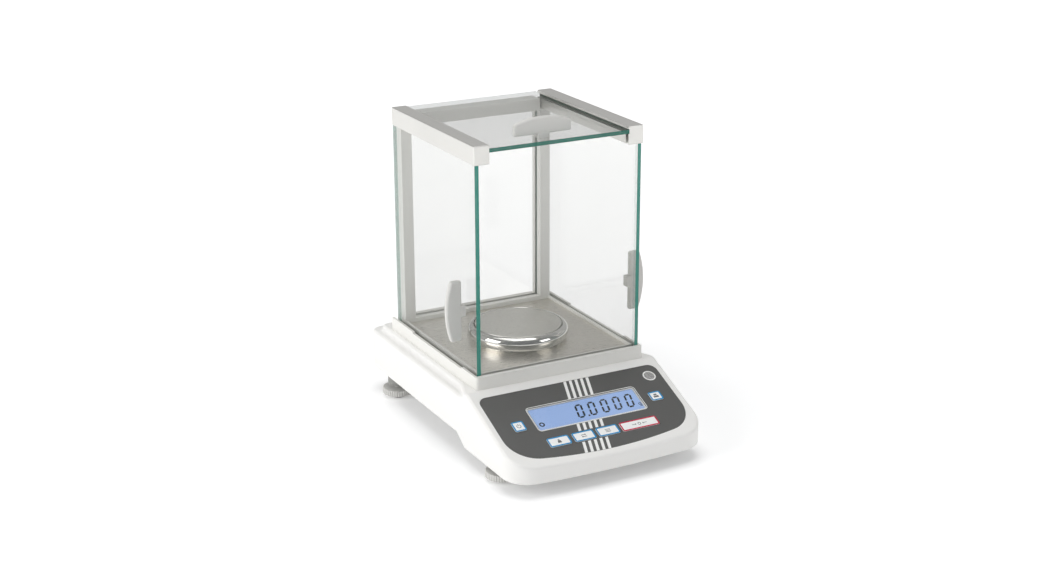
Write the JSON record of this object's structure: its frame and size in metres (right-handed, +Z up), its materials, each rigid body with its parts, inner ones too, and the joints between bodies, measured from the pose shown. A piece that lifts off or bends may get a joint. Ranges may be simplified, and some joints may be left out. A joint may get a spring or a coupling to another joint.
{
  "type": "analytical balance",
  "caption": "Bench analytical balance: sloping keypad and display in front of a glass draught shield with sliding side and top doors round a round weighing pan.",
  "frame": {"origin": "on the surface the feet stand on, under the middle of the whole object's box", "axes": "+Z up, the panel faces -Y, +X to the right as seen from the front"},
  "size_m": [0.2232, 0.34, 0.3322],
  "materials": {
    "painted_casting": "satin off-white paint",
    "white_abs": "fine moulded texture",
    "grey_base": "matt grey paint",
    "anodised_aluminium": "satin anodised",
    "float_glass": "clear, green at the cut edges",
    "brushed_steel": "fine brushed",
    "polished_steel": "polished",
    "overlay_film": "matt printed polyester film",
    "clear_acrylic": "clear",
    "lcd_blue": "backlit",
    "key_cap": "printed film",
    "circuit_board": "solder mask",
    "black_plastic": "moulded",
    "zinc_steel": "zinc plated",
    "milled_aluminium": "milled",
    "copper_wire": "enamelled winding",
    "handle_plastic": "satin painted",
    "foot_rubber": "moulded",
    "foot_wheel": "knurled",
    "vial_metal": "turned",
    "vial_liquid": "clear"
  },
  "bodies": {
    "housing": {"base_plate": "grey_base", "board_screws": "zinc_steel", "board_standoffs": "zinc_steel", "chamber_floor": "brushed_steel", "display_board": "circuit_board", "display_window": "clear_acrylic", "front_glass": "float_glass", "hook_cover_pin": "zinc_steel", "housing_screws": "zinc_steel", "key_switches": "black_plastic", "lcd_module": "lcd_blue", "level_liquid": "vial_liquid", "level_vial": "vial_metal", "level_window": "clear_acrylic", "magnet_yoke": "zinc_steel", "main_board": "circuit_board", "panel_overlay": "overlay_film", "position_sensor": "circuit_board", "post_left": "anodised_aluminium", "post_right": "anodised_aluminium", "power_jack": "black_plastic", "rail_left": "anodised_aluminium", "rail_right": "anodised_aluminium", "rear_glass": "float_glass", "rear_rail": "anodised_aluminium", "serial_connector": "zinc_steel", "shield_base_frame": "white_abs", "shield_screws": "zinc_steel", "upper_housing": "painted_casting", "weigh_cell_block": "milled_aluminium"},
    "left_door": {"left_door_glass": "float_glass", "left_door_handle": "handle_plastic"},
    "right_door": {"right_door_glass": "float_glass", "right_door_handle": "handle_plastic"},
    "top_door": {"top_door_glass": "float_glass", "top_door_handle": "handle_plastic"},
    "pan": {"weighing_pan": "brushed_steel"},
    "draught_ring": {"pan_ring": "polished_steel"},
    "carrier": {"pan_carrier": "milled_aluminium"},
    "lever": {"weigh_cell_lever": "milled_aluminium", "coil": "copper_wire"},
    "weighing_hook_cover": {"hook_cover": "grey_base"},
    "power_key": {"key_power": "key_cap"},
    "calibrate_key": {"key_calibrate": "key_cap"},
    "units_key": {"key_units": "key_cap"},
    "menu_key": {"key_menu": "key_cap"},
    "tare_key": {"key_tare": "key_cap"},
    "print_key": {"key_print": "key_cap"},
    "front_left_foot": {"foot_front_left_pad": "foot_rubber"},
    "front_left_foot_screw": {"foot_front_left_screw": "foot_wheel"},
    "front_right_foot": {"foot_front_right_pad": "foot_rubber"},
    "front_right_foot_screw": {"foot_front_right_screw": "foot_wheel"},
    "rear_left_foot": {"foot_rear_left_pad": "foot_rubber"},
    "rear_left_foot_screw": {"foot_rear_left_screw": "foot_wheel"},
    "rear_right_foot": {"foot_rear_right_pad": "foot_rubber"},
    "rear_right_foot_screw": {"foot_rear_right_screw": "foot_wheel"}
  },
  "joints": [
    {"name": "left_door_slide", "type": "slide", "parent": "housing", "child": "left_door", "axis": [0, 1, 0], "range_m": [0, 0.15]},
    {"name": "right_door_slide", "type": "slide", "parent": "housing", "child": "right_door", "axis": [0, 1, 0], "range_m": [0, 0.15]},
    {"name": "top_door_slide", "type": "slide", "parent": "housing", "child": "top_door", "axis": [0, 1, 0], "range_m": [0, 0.15]},
    {"name": "pan_deflection", "type": "slide", "parent": "housing", "child": "carrier", "axis": [0, 0, -1], "range_m": [-0.0003, 0.0003], "stiffness_N_per_m": 20000, "springref_m": -0.00007},
    {"name": "pan_lift", "type": "slide", "parent": "carrier", "child": "pan", "axis": [0, 0, 1], "range_m": [0, 0.05]},
    {"name": "ring_lift", "type": "slide", "parent": "housing", "child": "draught_ring", "axis": [0, 0, 1], "range_m": [0, 0.05]},
    {"name": "lever_pivot", "type": "hinge", "parent": "housing", "child": "lever", "pos_m": [0, 0.055, 0.0525], "axis": [1, 0, 0], "range_deg": [-0.75, 0.75]},
    {"name": "power_key_press", "type": "slide", "parent": "housing", "child": "power_key", "axis": [0, 0.3806, -0.9247], "range_m": [0, 0.0005], "stiffness_N_per_m": 1200},
    {"name": "calibrate_key_press", "type": "slide", "parent": "housing", "child": "calibrate_key", "axis": [0, 0.3806, -0.9247], "range_m": [0, 0.0005], "stiffness_N_per_m": 1200},
    {"name": "units_key_press", "type": "slide", "parent": "housing", "child": "units_key", "axis": [0, 0.3806, -0.9247], "range_m": [0, 0.0005], "stiffness_N_per_m": 1200},
    {"name": "menu_key_press", "type": "slide", "parent": "housing", "child": "menu_key", "axis": [0, 0.3806, -0.9247], "range_m": [0, 0.0005], "stiffness_N_per_m": 1200},
    {"name": "tare_key_press", "type": "slide", "parent": "housing", "child": "tare_key", "axis": [0, 0.3806, -0.9247], "range_m": [0, 0.0005], "stiffness_N_per_m": 1200},
    {"name": "print_key_press", "type": "slide", "parent": "housing", "child": "print_key", "axis": [0, 0.3806, -0.9247], "range_m": [0, 0.0005], "stiffness_N_per_m": 1200},
    {"name": "front_left_foot_height", "type": "slide", "parent": "housing", "child": "front_left_foot", "axis": [0, 0, -1], "range_m": [-0.003, 0.005]},
    {"name": "front_left_foot_turn", "type": "hinge", "parent": "front_left_foot", "child": "front_left_foot_screw", "pos_m": [-0.092, -0.112, 0], "axis": [0, 0, -1], "range_deg": [-865.2, 1441]},
    {"name": "front_right_foot_height", "type": "slide", "parent": "housing", "child": "front_right_foot", "axis": [0, 0, -1], "range_m": [-0.003, 0.005]},
    {"name": "front_right_foot_turn", "type": "hinge", "parent": "front_right_foot", "child": "front_right_foot_screw", "pos_m": [0.092, -0.112, 0], "axis": [0, 0, -1], "range_deg": [-865.2, 1441]},
    {"name": "rear_left_foot_height", "type": "slide", "parent": "housing", "child": "rear_left_foot", "axis": [0, 0, -1], "range_m": [-0.003, 0.005]},
    {"name": "rear_left_foot_turn", "type": "hinge", "parent": "rear_left_foot", "child": "rear_left_foot_screw", "pos_m": [-0.092, 0.13, 0], "axis": [0, 0, -1], "range_deg": [-865.2, 1441]},
    {"name": "rear_right_foot_height", "type": "slide", "parent": "housing", "child": "rear_right_foot", "axis": [0, 0, -1], "range_m": [-0.003, 0.005]},
    {"name": "rear_right_foot_turn", "type": "hinge", "parent": "rear_right_foot", "child": "rear_right_foot_screw", "pos_m": [0.092, 0.13, 0], "axis": [0, 0, -1], "range_deg": [-865.2, 1441]},
    {"name": "hook_cover_turn", "type": "hinge", "parent": "housing", "child": "weighing_hook_cover", "pos_m": [0.024, 0.0295, 0.026], "axis": [0, 0, 1], "range_deg": [0, 90]}
  ],
  "couplings": [
    {"joint": "lever_pivot", "follows": "pan_deflection", "rad_per_m": 39.216},
    {"joint": "front_left_foot_turn", "follows": "front_left_foot_height", "rad_per_m": 5026.5},
    {"joint": "front_right_foot_turn", "follows": "front_right_foot_height", "rad_per_m": 5026.5},
    {"joint": "rear_left_foot_turn", "follows": "rear_left_foot_height", "rad_per_m": 5026.5},
    {"joint": "rear_right_foot_turn", "follows": "rear_right_foot_height", "rad_per_m": 5026.5}
  ]
}
